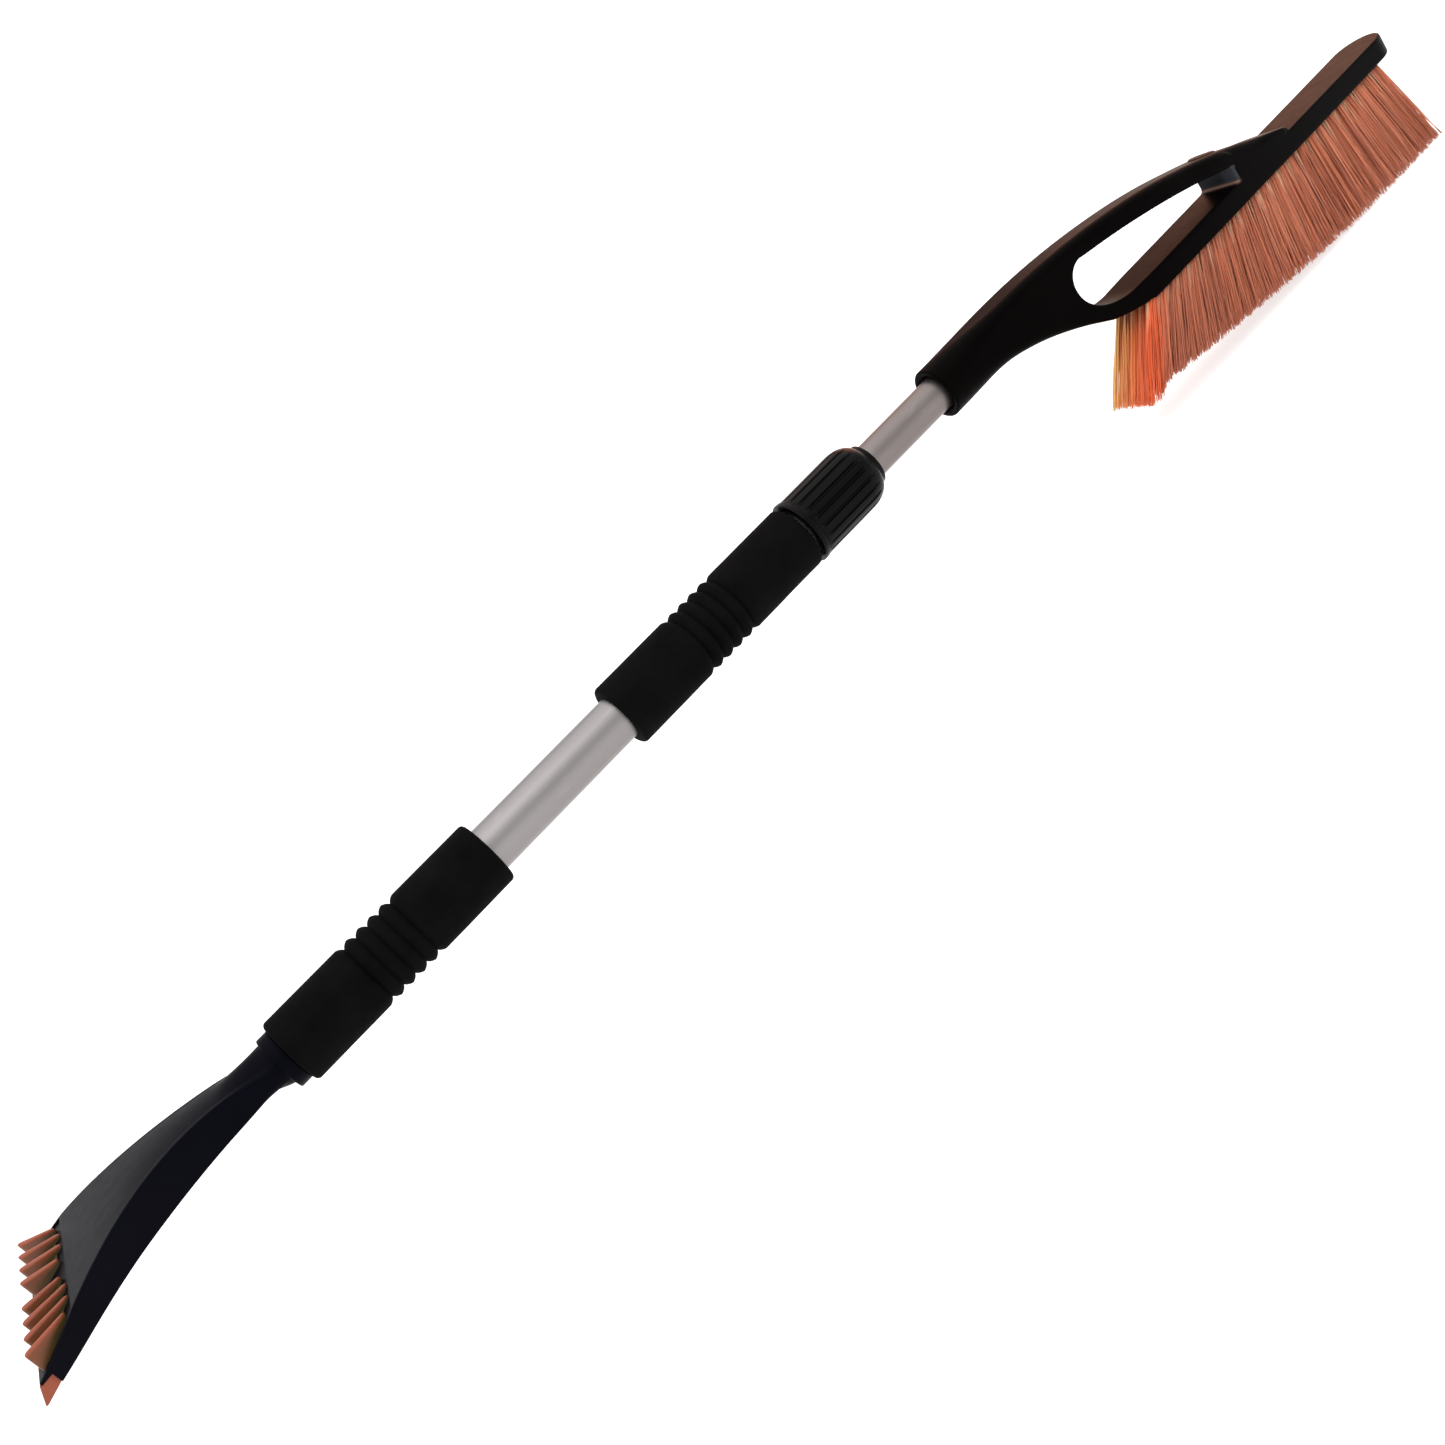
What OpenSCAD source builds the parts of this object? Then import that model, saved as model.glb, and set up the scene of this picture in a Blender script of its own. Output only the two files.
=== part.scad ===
// Telescopic snow brush with an ice scraper. Units are mm, angles are degrees.
// The pole lies along X, the scraper at -X and the brush at +X. The bristles point down and their tips
// define z = 0. The object is symmetric about the plane y = 0 apart from one rivet.

/* [Pole] */
// height of the pole's axis above the bristle tips
pole_height = 108.5; // [90:0.5:130]
// outside diameter of the outer tube
outer_tube_d = 25; // [22:0.5:32]
// outside diameter of the inner tube
inner_tube_d = 20; // [16:0.5:26]
// wall thickness of both tubes
tube_wall = 1.2; // [0.8:0.1:2]
// x of the outer tube's end inside the scraper's collar
outer_tube_x0 = -348; // [-380:1:-300]
// x of the outer tube's end inside the lock collar
outer_tube_x1 = 30; // [10:1:60]
// x of the inner tube's lower end with the pole as shown
inner_tube_x0 = -258; // [-280:1:-150]

/* [Foam grips] */
// outside diameter of a grip
grip_d = 36.6; // [30:0.2:45]
// x of the lower grip's ends
lower_grip_x = [-348.2, -218.5];
// x of the upper grip's ends
upper_grip_x = [-126.3, 8.2];
// radius of a grip's rounded ends
grip_end_r = 3; // [2:0.5:5.5]
// number of grooves in the middle of a grip
grip_grooves = 5; // [3:1:9]
// distance between grooves
groove_pitch = 7.4; // [5:0.2:12]
// depth of a groove
groove_depth = 2.8; // [0.5:0.1:4]

/* [Lock collar] */
// x of the collar's flange
collar_x0 = 10; // [5:1:30]
// length of the collar with its dome
collar_length = 54.8; // [40:0.2:80]
// outside diameter of the fluted body
collar_d = 37; // [32:0.2:45]
// outside diameter of the flange ring
flange_d = 38; // [33:0.2:46]
// length of the domed end
dome_length = 11.5; // [6:0.5:16]
// number of flutes
flute_count = 20; // [12:1:32]
// radius of the tool that cuts a flute
flute_r = 2.1; // [1:0.1:4]
// depth of a flute
flute_depth = 0.9; // [0.3:0.1:1.6]

/* [Scraper head] */
// x of the end of the neck, at the lower grip
neck_x = -351; // [-370:1:-330]
// x of the front lip above the blade
lip_x = -501; // [-530:1:-470]
// x of the front face behind the blade
front_x = -495.4; // [-520:0.2:-465]
// radius of the round neck
neck_r = 13; // [12:0.2:18]
// radius of the ring next to the grip
ring_r = 15; // [13:0.2:20]
// half of the blade's width
blade_half = 62; // [45:1:80]
// height of the crown above the pole's axis
crown_rise = 15.3; // [8:0.1:20]
// share of the head's length at which the crown lies
crown_at = 0.46; // [0.2:0.02:0.6]
// height of the side walls' lower edge, from the pole's axis
wall_foot = -4.2; // [-8:0.1:0]
// thickness of the moulding's skin
skin = 3; // [2:0.2:5]
// thickness of the moulding's side walls and ribs
rib = 2.6; // [1.6:0.2:4]
// angle between the ribs under the head
rib_spread = 11; // [6:1:14]

/* [Blade and ice combs] */
// x of the blade's cutting edge
blade_tip_x = -506.2; // [-530:1:-480]
// height of the cutting edge below the pole's axis
blade_drop = 10.3; // [4:0.1:20]
// fins on one comb
comb_fins = 4; // [2:1:6]
// y of a comb's inner and outer fin at the root
comb_root_y = [9.5, 45.5];
// y of a comb's inner and outer fin at the tip
comb_tip_y = [13, 57];
// x of the fins' roots and of their tips
comb_x = [-478, -497.6];
// how far the middle fins' roots lie behind those of the outer fins
root_bow = 3; // [0:0.5:6]
// heights of the ridge above the pole's axis at the root and at the tip
ridge_z = [7.4, 10.6];
// thickness of a fin at the root and at the tip
fin_width = [1.8, 3.6];
// depth of the recess that the combs stand in
bed_depth = 1; // [0.4:0.1:1.4]
// share of the head's length at which the recess starts and ends
bed_u = [0.83, 0.979];

/* [Brush head] */
// x of the socket's rim
socket_x = 122; // [100:1:150]
// radius of the socket
socket_r = 15.3; // [13:0.1:20]
// depth of the socket
socket_depth = 42; // [25:1:60]
// width of the arm and the neck
arm_width = 28; // [20:0.5:32]
// width of the bar that carries the bristles
bar_width = 32; // [24:0.5:44]
// z of the bar's top and bottom faces relative to the pole's axis
bar_z = [-47.9, -35.5];
// x of the bar's rounded end
bar_x1 = 506; // [480:1:530]
// x of the window's two ends
window_x = [220, 352];
// radius of the hanging hole
hang_r = 5; // [3:0.1:6]
// x of the hanging hole
hang_x = 351; // [335:1:360]

/* [Bristles] */
// rows of tufts across the bar
rows = 5; // [3:1:6]
// distance between rows
row_pitch = 6.2; // [5:0.1:8]
// tufts in one row
tufts = 24; // [16:1:30]
// x of the first and last tuft at the root
root_x = [243.4, 484.8];
// x of the first and last tuft at the tip
tip_x = [214, 501];
// width of a tuft at its root, along and across the row
tuft_size = [4.8, 4.2];
// sideways lean of one row to the next
row_lean = 1.5; // [0:0.1:3]

/* [Hidden] */
$fn = 96;
eps = 0.02;
run = 0.05;
rO = outer_tube_d / 2;
rOi = rO - tube_wall;
rI = inner_tube_d / 2;
rIi = rI - tube_wall;
head_len = neck_x - lip_x;
dome_x0 = collar_x0 + collar_length - dome_length;
collar_x1 = collar_x0 + collar_length;
groove_z = 3;
ferrule_r = 15.4;
ferrule_x1 = outer_tube_x1 + 4;
collet_tail = 14;
bush_x1 = inner_tube_x0 + 10;
BLACK = [0.07, 0.07, 0.075];
ORANGE = [0.72, 0.34, 0.23];
ALU = [0.66, 0.65, 0.66];
FOAM = [0.09, 0.09, 0.095];
STEEL = [0.6, 0.6, 0.62];

function mix(a, b, t) = a + (b - a) * t;
function clamp01(t) = min(1, max(0, t));
function ease(t) = t * t * (3 - 2 * t);

// ---------- helpers ----------
// places a child drawn along +Z so that it lies along +X from x on the pole's axis
module on_pole(x) { translate([x, 0, pole_height]) rotate([0, 90, 0]) children(); }
// a tube along the pole
module pole_tube(x0, x1, ro, ri) {
  on_pole(x0) difference() {
    cylinder(h = x1 - x0, r = ro);
    translate([0, 0, -1]) cylinder(h = x1 - x0 + 2, r = ri);
  }
}
// a side profile in x and z, relative to the pole's axis, made w wide about y = 0
module side(w) { translate([0, w / 2, pole_height]) rotate([90, 0, 0]) linear_extrude(w) children(); }

// ---------- pole ----------
module outer_tube() color(ALU) difference() {
  pole_tube(outer_tube_x0, outer_tube_x1, rO, rOi);
  rivet_holes(2.45);
}
module rivet_holes(r) {
  translate([neck_x + 17, 0, pole_height]) rotate([90, 0, 0]) cylinder(h = 60, r = r, center = true, $fn = 32);
}
module scraper_rivets() color(STEEL)
  for (s = [-1, 1]) translate([neck_x + 17, s * 6.5, pole_height]) rotate([-s * 90, 0, 0])
    cylinder(h = rO - 6.5 - 0.35, r = 2.4, $fn = 32);

module inner_tube() color(ALU) difference() {
  pole_tube(inner_tube_x0, socket_x + socket_depth - 1, rI, rIi);
  head_rivet_hole(2.45);
}
module guide_bush() color(BLACK) difference() {
  on_pole(inner_tube_x0 - 3) union() {
    cylinder(h = 3 - eps, r = rOi - run);
    cylinder(h = 16, r = rIi - 0.04);
  }
  on_pole(inner_tube_x0 - 4) cylinder(h = 30, r = 5);
}

// ---------- grips ----------
function groove_at(i, c) = c + (i - (grip_grooves - 1) / 2) * groove_pitch;
module grip(x0, x1) color(FOAM) on_pole(x0) rotate_extrude($fn = 72) {
  L = x1 - x0; c = L / 2; R = grip_d / 2; n = 8;
  polygon(concat(
    [[rO + run, 0]],
    [for (i = [0:n]) let (a = -90 + 90 * i / n) [R - grip_end_r + grip_end_r * cos(a), grip_end_r + grip_end_r * sin(a)]],
    [for (g = [0:grip_grooves - 1]) for (i = [-4:4]) let (u = i / 4)
      [R - groove_depth * (1 - abs(u)) * (1 - abs(u)), groove_at(g, c) + u * groove_pitch * 0.42]],
    [for (i = [0:n]) let (a = 90 * i / n) [R - grip_end_r + grip_end_r * cos(a), L - grip_end_r + grip_end_r * sin(a)]],
    [[rO + run, L]]));
}
module foam_grip_lower() grip(lower_grip_x[0], lower_grip_x[1]);
module foam_grip_upper() grip(upper_grip_x[0], upper_grip_x[1]);

// ---------- twist lock ----------
module threaded_ferrule() color(BLACK) on_pole(collar_x0 + 1) {
  L = ferrule_x1 - collar_x0 - 1;
  difference() {
    union() {
      cylinder(h = L, r = ferrule_r - 0.9);
      for (i = [0:3]) translate([0, 0, 3 + i * 5]) cylinder(h = 2.2, r = ferrule_r);
    }
    translate([0, 0, -1]) cylinder(h = outer_tube_x1 - collar_x0 + eps, r = rO + run);
    translate([0, 0, -1]) cylinder(h = L + 2, r = rOi);
  }
}
module lock_collar() color(BLACK) difference() {
  on_pole(collar_x0) union() {
    cylinder(h = dome_x0 - collar_x0, r = collar_d / 2);
    cylinder(h = 3.2, r = flange_d / 2);
    translate([0, 0, dome_x0 - collar_x0]) rotate_extrude() polygon(concat([[0, 0]],
      [for (i = [0:10]) let (a = 90 * i / 10)
        [rI + 2.6 + (collar_d / 2 - rI - 2.6) * cos(a), dome_length * sin(a)]], [[0, dome_length]]));
  }
  for (i = [0:flute_count - 1]) translate([collar_x0 + 5.2, 0, pole_height]) rotate([i * 360 / flute_count, 0, 0])
    translate([0, 0, collar_d / 2 - flute_depth + flute_r]) rotate([0, 90, 0]) cylinder(h = 60, r = flute_r, $fn = 24);
  on_pole(collar_x0 - 1) cylinder(h = ferrule_x1 - collar_x0 + 1.4, r = ferrule_r + run);
  on_pole(ferrule_x1) cylinder(h = 13, r = ferrule_r - 0.2);
  on_pole(ferrule_x1 + 13 - eps) cylinder(h = 8, r1 = ferrule_r - 0.2, r2 = rI + 2.2);
  on_pole(collar_x0) cylinder(h = collar_length + 2, r = rI + 0.4);
  on_pole(collar_x1 - 3.2) cylinder(h = 4, r = rI + 1.8);
}
module clamp_collet() color([0.5, 0.5, 0.52]) difference() {
  on_pole(ferrule_x1 + 0.3) union() {
    cylinder(h = 12, r = ferrule_r - 0.6);
    translate([0, 0, 12 - eps]) cylinder(h = 5.5, r1 = ferrule_r - 0.6, r2 = rI + 2.2);
    translate([0, 0, -collet_tail]) cylinder(h = collet_tail + eps, r = rOi - run);
  }
  on_pole(outer_tube_x1 - 40) cylinder(h = 80, r = rI + run);
  translate([ferrule_x1 + 2, -0.8, pole_height]) cube([30, 1.6, 30]);
}
module wiper_ring() color([0.05, 0.05, 0.055]) pole_tube(collar_x1 - 3.2 + eps, collar_x1 - 0.6, rI + 1.78, rI + run);

// ---------- scraper head ----------
// u runs from 0 at the neck to 1 at the front lip
function at_x(u) = neck_x - u * head_len;
function half_w(u) = let (v = max(u - 0.1, 0)) blade_half - 75.4 * (0.81 - v * v) + 35 * (0.3487 - pow(v, 10));
function crown(u) = crown_rise - 57.3 * pow(u - crown_at, 2);
function top_z(u) = u < 0.82 ? crown(u) : mix(crown(0.82), -1.4, (u - 0.82) / 0.18);
function low_z(u) = wall_foot - 30 * pow(max(u - 0.6, 0), 2);
module fan_plan(inset, u0, u1, n = 22)
  polygon(concat([for (i = [0:n]) let (u = mix(u0, u1, i / n)) [at_x(u), half_w(u) - inset]],
                 [for (i = [n:-1:0]) let (u = mix(u0, u1, i / n)) [at_x(u), inset - half_w(u)]]));
module fan_side(down, up, u0, u1, n = 22)
  polygon(concat([for (i = [0:n]) let (u = mix(u0, u1, i / n)) [at_x(u), top_z(u) - down]],
                 [for (i = [n:-1:0]) let (u = mix(u0, u1, i / n)) [at_x(u), low_z(u) + up]]));
module scraper_head() color(BLACK) difference() {
  union() {
    difference() {
      intersection() {
        translate([0, 0, pole_height - 60]) linear_extrude(120) fan_plan(0, 0.02, 1);
        side(200) fan_side(0, 0, 0.02, 1);
      }
      // open underside with ribs
      intersection() {
        translate([0, 0, pole_height - 60]) linear_extrude(120) fan_plan(rib, 0.3, 0.86);
        side(200) fan_side(skin, -20, 0.26, 0.87);
        difference() {
          translate([-600, -100, 0]) cube([400, 200, 300]);
          for (a = [-rib_spread, 0, rib_spread]) translate([neck_x + 30, 0, 0]) rotate([0, 0, 180 + a])
            translate([0, -rib / 2, 0]) cube([260, rib, 300]);
        }
      }
      // front step under the lip
      side(200) polygon([[front_x, -60], [front_x, -2.7], [lip_x - 5, -2.7], [lip_x - 5, -60]]);
    }
    // the neck is round above and drawn in below
    on_pole(neck_x - 22) cylinder(h = 22, r1 = 8, r2 = neck_r - 0.6);
    intersection() {
      on_pole(neck_x - 40) cylinder(h = 40, r = neck_r);
      translate([neck_x - 50, -50, pole_height]) cube([60, 100, 50]);
    }
    on_pole(neck_x - 4) cylinder(h = 6.8, r = ring_r);
    on_pole(neck_x) cylinder(h = 30, r = rOi - run);
  }
  on_pole(neck_x - 6) cylinder(h = 50, r = 6.5);
  rivet_holes(2.45);
  // recess for the combs
  intersection() {
    translate([0, 0, pole_height - 20]) linear_extrude(40) fan_plan(rib, bed_u[0], bed_u[1]);
    side(200) polygon([for (u = [bed_u[0], bed_u[1]]) [at_x(u), top_z(u) - bed_depth],
                       for (u = [bed_u[1], bed_u[0]]) [at_x(u), 20]]);
  }
  // slot for the blade's tongue
  side(200) polygon([[front_x - 2, -3.3], [front_x + 9.1, -2.9], [front_x + 9.1, -4.9], [front_x - 2, -5.3]]);
}

// ---------- blade and ice combs ----------
module scraper_blade() color(ORANGE) intersection() {
  side(2 * blade_half + 10) polygon([
    [front_x + 9, -3], [front_x - eps, -3.32], [front_x - eps, -2.8], [lip_x - 0.4, -2.8], [lip_x - 0.9, -2.2],
    [blade_tip_x, -blade_drop], [blade_tip_x + 1.2, -blade_drop], [front_x - eps, -7.6], [front_x - eps, -5.1],
    [front_x + 9, -4.8]]);
  // the ends follow the sides of the head
  translate([0, 0, pole_height - 20]) linear_extrude(40) polygon([
    [front_x + 10, half_w(0.9)], [lip_x, blade_half], [blade_tip_x - 1, blade_half],
    [blade_tip_x - 1, -blade_half], [lip_x, -blade_half], [front_x + 10, -half_w(0.9)]]);
}

// one comb: tall, slim fins on a thin bed, fanning out toward their tips
function fin_y(k, t) = mix(mix(comb_root_y[0], comb_root_y[1], k / (comb_fins - 1)),
                           mix(comb_tip_y[0], comb_tip_y[1], k / (comb_fins - 1)), t);
function root_x(k) = comb_x[0] + root_bow * (0.5 - pow(2 * k / (comb_fins - 1) - 1, 2));
function bed_z(x) = top_z((neck_x - x) / head_len) - bed_depth + 0.03;
module comb_side(x0, z0, z1) side(200)
  polygon([[x0, bed_z(x0)], [x0, z0], [comb_x[1], z1], [comb_x[1], bed_z(comb_x[1])]]);
module ice_comb() {
  h = fin_width / 2;
  x1 = comb_x[1];
  intersection() {
    translate([0, 0, pole_height - 20]) linear_extrude(40) for (k = [0:comb_fins - 1]) polygon([
      [root_x(k), fin_y(k, 0) + h[0]], [root_x(k), fin_y(k, 0) - h[0]], [x1 + 1.4, fin_y(k, 1) - h[1]],
      [x1, fin_y(k, 1) - 0.6], [x1, fin_y(k, 1) + 0.6], [x1 + 1.4, fin_y(k, 1) + h[1]]]);
    comb_side(root_x(1), ridge_z[0], ridge_z[1]);
  }
  intersection() {
    translate([0, 0, pole_height - 20]) linear_extrude(40) polygon([
      [root_x(0) - 1, comb_root_y[0]], [root_x(0) - 1, comb_root_y[1]], [x1 + 2, comb_tip_y[1]], [x1 + 2, comb_tip_y[0]]]);
    comb_side(root_x(0), bed_z(root_x(0)) + 0.7, bed_z(x1) + 0.7);
  }
}
module ice_comb_left() color(ORANGE) ice_comb();
module ice_comb_right() color(ORANGE) mirror([0, 1, 0]) ice_comb();

// ---------- brush head ----------
function arm_top(x) = x < 170 ? 14 : 14 - 0.00008 * pow(x - 170, 2.45);
function neck_low(x) = x < 160 ? -12 : x < 234 ? -12 - 28.5 * pow((x - 160) / 74, 2)
                     : x < 272 ? bar_z[0] + 7.4 * pow((272 - x) / 38, 2) : bar_z[0];
function window_top(x) = 1.5 - 0.13 * (x - 233) - 0.00075 * pow(x - 233, 2);
// the left end is a tight curve under the arm and a long one above the bar
module window_shape() polygon(concat(
  [for (i = [0:8]) let (a = 90 + 90 * i / 8) [window_x[0] + 12.5 + 12.5 * cos(a), -11.5 + 13 * sin(a)]],
  [for (i = [0:10]) let (a = 180 + 90 * i / 10) [window_x[0] + 34 + 34 * cos(a), -13.5 + (-13.5 - bar_z[1]) * sin(a)]],
  [[window_x[1] - 1.5, bar_z[1]], [window_x[1], bar_z[1] + 1.5], [window_x[1], window_top(window_x[1]) - 0.8]],
  [for (i = [9:-1:0]) let (x = mix(window_x[0] + 18, window_x[1] - 1.6, i / 9)) [x, window_top(x)]]));
function bar_half(x) = mix(arm_width / 2, bar_width / 2, ease(clamp01((x - 236) / 40)));
// side outline of the neck, the arm and the bar together
module head_outline() polygon(concat(
  [for (i = [0:24]) let (x = mix(140, 401.5, i / 24)) [x, arm_top(x)]],
  [[401.6, bar_z[1]], [bar_x1 + 5, bar_z[1]], [bar_x1 + 5, bar_z[0]]],
  [for (i = [0:16]) let (x = mix(272, 140, i / 16)) [x, neck_low(x)]]));
// plan outline of the same
module head_plan() {
  r = bar_width / 2;
  polygon(concat(
    [[135, arm_width / 2]],
    [for (i = [0:8]) let (x = mix(236, 276, i / 8)) [x, bar_half(x)]],
    [for (i = [0:16]) let (a = 90 - 180 * i / 16) [bar_x1 - r + r * cos(a), r * sin(a)]],
    [for (i = [8:-1:0]) let (x = mix(236, 276, i / 8)) [x, -bar_half(x)]],
    [[135, -arm_width / 2]]));
}
module head_rivet_hole(r) {
  translate([socket_x + 22, 0, pole_height]) rotate([-90, 0, 0]) cylinder(h = 30, r = r, $fn = 32);
}
module brush_head() color(BLACK) difference() {
  union() {
    difference() {
      intersection() {
        side(60) head_outline();
        translate([0, 0, pole_height - 60]) linear_extrude(90) head_plan();
      }
      side(70) window_shape();
      // the arm is narrower than the bar until it nears its root
      for (s = [0, 1]) mirror([0, s, 0]) translate([0, 0, pole_height + bar_z[1]]) linear_extrude(60)
        polygon([[225, arm_width / 2], [325, arm_width / 2], [348, bar_width / 2 + eps], [348, 30], [225, 30]]);
      // the neck rounds off toward the socket
      on_pole(130) rotate_extrude() polygon([[70, 0], [15.3, 0], [15.3, 10], [17.2, 35], [20, 60], [32, 85], [46, 104],
                                             [70, 104]]);
    }
    on_pole(socket_x) cylinder(h = 24, r = socket_r);
    on_pole(socket_x + 24 - eps) cylinder(h = 30, r1 = socket_r, r2 = 11.5);
  }
  on_pole(socket_x - 1) cylinder(h = socket_depth + 1, r = rI + run);
  on_pole(socket_x - eps) cylinder(h = 2, r1 = rI + 2, r2 = rI);
  head_rivet_hole(2.45);
  // hanging hole through the arm into the window's end
  translate([hang_x, 0, pole_height - 27]) cylinder(h = 40, r = hang_r, $fn = 48);
  for (k = [0:rows - 1]) translate([0, row_y(k), pole_height + bar_z[0]]) rotate([row_tilt(k), 0, 0])
    translate([root_x[0] - 3.5, -tuft_size[1] / 2 - 0.05, -4])
      cube([root_x[1] - root_x[0] + 7, tuft_size[1] + 0.1, groove_z + 4]);
}
module brush_head_rivet() color(STEEL) translate([socket_x + 22, 8.2, pole_height]) rotate([-90, 0, 0]) union() {
  cylinder(h = socket_r - 8.2 + 0.3, r = 2.4, $fn = 32);
  translate([0, 0, socket_r - 8.2 + 0.1]) cylinder(h = 1.3, r1 = 4.2, r2 = 2.8, $fn = 32);
}

// ---------- bristles ----------
function row_y(k) = (k - (rows - 1) / 2) * row_pitch;
function row_tilt(k) = (k - (rows - 1) / 2) * row_lean;
function tuft_root(i) = mix(root_x[0], root_x[1], i / (tufts - 1));
function tuft_tip(i) = mix(tip_x[0], tip_x[1], i / (tufts - 1));
// depth of the tips below the pole's axis
function tip_z(x) = -pole_height + 25.7 * pow(max(0, 430 - x) / 223, 1.9);
module bristle_row(k) {
  hw = tuft_size[0] / 2;
  color(ORANGE) translate([0, row_y(k), pole_height + bar_z[0]]) rotate([row_tilt(k), 0, 0])
    translate([0, 0, -pole_height - bar_z[0]]) side(tuft_size[1]) polygon(concat(
      [for (i = [0:tufts - 1]) each [
        [tuft_root(i) - hw, bar_z[0] + groove_z - 0.1], [tuft_root(i) + hw, bar_z[0] + groove_z - 0.1],
        if (i < tufts - 1) let (x = mix((tuft_root(i) + tuft_root(i + 1)) / 2, (tuft_tip(i) + tuft_tip(i + 1)) / 2, 0.4))
          [x, mix(bar_z[0], tip_z(x), 0.4)]]],
      [for (i = [tufts - 1:-1:0]) let (x = tuft_tip(i)) each [[x + 5.2, tip_z(x + 5.2)], [x, tip_z(x)]]],
      [[tuft_tip(0) - 5.2, tip_z(tuft_tip(0) - 5.2)]]));
}
module bristle_row_1() bristle_row(0);
module bristle_row_2() bristle_row(1);
module bristle_row_3() bristle_row(2);
module bristle_row_4() bristle_row(3);
module bristle_row_5() bristle_row(4);

outer_tube();
scraper_head();
scraper_blade();
ice_comb_left();
ice_comb_right();
scraper_rivets();
foam_grip_lower();
foam_grip_upper();
threaded_ferrule();
lock_collar();
clamp_collet();
wiper_ring();
inner_tube();
guide_bush();
brush_head();
brush_head_rivet();
bristle_row_1();
bristle_row_2();
bristle_row_3();
bristle_row_4();
bristle_row_5();
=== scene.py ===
import itertools
import math

import bmesh
import bpy
import numpy as np
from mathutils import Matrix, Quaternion, Vector


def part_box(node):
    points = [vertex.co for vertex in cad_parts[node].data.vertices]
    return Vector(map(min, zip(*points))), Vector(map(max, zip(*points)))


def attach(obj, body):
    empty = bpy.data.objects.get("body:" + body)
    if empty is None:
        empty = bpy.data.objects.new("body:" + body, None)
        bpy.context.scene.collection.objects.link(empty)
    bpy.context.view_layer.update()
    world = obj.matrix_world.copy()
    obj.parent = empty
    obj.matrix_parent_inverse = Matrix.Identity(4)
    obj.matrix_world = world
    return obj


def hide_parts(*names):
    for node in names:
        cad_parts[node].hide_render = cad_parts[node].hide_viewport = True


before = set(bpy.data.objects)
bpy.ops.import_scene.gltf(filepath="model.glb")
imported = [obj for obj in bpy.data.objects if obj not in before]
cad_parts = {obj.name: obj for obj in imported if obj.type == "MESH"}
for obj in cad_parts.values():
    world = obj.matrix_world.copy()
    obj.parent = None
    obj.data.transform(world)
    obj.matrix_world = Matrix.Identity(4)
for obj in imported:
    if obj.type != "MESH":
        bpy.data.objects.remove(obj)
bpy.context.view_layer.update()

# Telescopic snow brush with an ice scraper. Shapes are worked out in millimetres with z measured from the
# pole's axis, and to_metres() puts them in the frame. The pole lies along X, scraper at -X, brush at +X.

MM = 0.001
rng = np.random.default_rng(7)

tube_low, tube_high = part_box("outer_tube")
AXIS_HEIGHT = (tube_low.z + tube_high.z) / 2 / MM


def span(node):
    """Lowest and highest corner of a CAD node in mm, z from the pole's axis."""
    low, high = (np.array(corner) / MM - (0, 0, AXIS_HEIGHT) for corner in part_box(node))
    return low, high


# ---------- sizes read from the frame ----------
TUBE_R = (span("outer_tube")[1] - span("outer_tube")[0])[2] / 2
INNER_R = (span("inner_tube")[1] - span("inner_tube")[0])[2] / 2
SCRAPER_LOW, SCRAPER_HIGH = span("scraper_head")
LIP_X = SCRAPER_LOW[0]
BLADE_HALF = SCRAPER_HIGH[1]
BLADE_TIP_X, _, BLADE_TIP_Z = span("scraper_blade")[0]
HEAD_LOW, HEAD_HIGH = span("brush_head")
SOCKET_X = HEAD_LOW[0]
BAR_END_X = HEAD_HIGH[0]
BAR_BOTTOM = HEAD_LOW[2]
BAR_HALF = HEAD_HIGH[1]
SOCKET_R = HEAD_HIGH[2]
COLLAR_LOW, COLLAR_HIGH = span("lock_collar")
COMB_LOW, COMB_HIGH = span("ice_comb_left")
GRIP_R = span("foam_grip_lower")[1][2]

# ---------- sizes of the scraper head (u runs from 0 at the neck to 1 at the lip) ----------
NECK_X = LIP_X + 150
NECK_R = 13.0
RING_R = 15.0
RING_EDGE_R = 0.8
RING_X = (NECK_X - 4, NECK_X + 2.8)
PLUG_R = TUBE_R - 1.25
PLUG_BORE_R = 6.5
PLUG_LENGTH = 28
FRONT_X = LIP_X + 5.6
FRONT_FOOT = -2.7
WALL_FOOT = -4.2
SKIN = 3.0
WALL = 2.6
CREASE_R = (4.5, 1.1)
FOOT_R = (5.0, 0.9)
CREST_U = 0.46
CREST_Z = 15.3
SLOPE_U = 0.82
LIP_TOP = -1.4
POCKET_U = (0.3, 0.86)
RIB_TURNS = (-11, 0, 11)
BED_U = (0.83, 0.979)
BED_DEPTH = 1.0

# ---------- sizes of the brush head ----------
SOCKET_DEPTH = 42.0
SOCKET_GAP = 0.18
SOCKET_CHAMFER = 2.4
NECK_START = 4
NECK_LENGTH = 54
NECK_SWEEP_X = 150
ARM_HALF = 14.0
ARM_EDGE_R = 6.5
ARM_BEND_X = 170
ARM_STRAIGHT_X = 380
ARM_HOLLOW = 1.3
ARM_END_X = SOCKET_X + 282
ARM_END_CORNER = 8.0
BAR_TOP = BAR_BOTTOM + 12.4
BAR_EDGE_R = 1.3
BAR_START_X = 234
BAR_LANDING = 38
BAR_TRIM = 2.5
WINDOW_X = (SOCKET_X + 100.5, SOCKET_X + 230)
WINDOW_EDGE_R = 2.2
WINDOW_CORNER = 2.5
WINDOW_TOP_X = 233
HANG_X = SOCKET_X + 229
HANG_R = 5.0
HANG_FLOOR = -27
RIM_R = 1.3
HEAD_STEP = 0.85
MAP_LOW = (SOCKET_X - 6, -56)
MAP_HIGH = (ARM_END_X + 8, 22)

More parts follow.
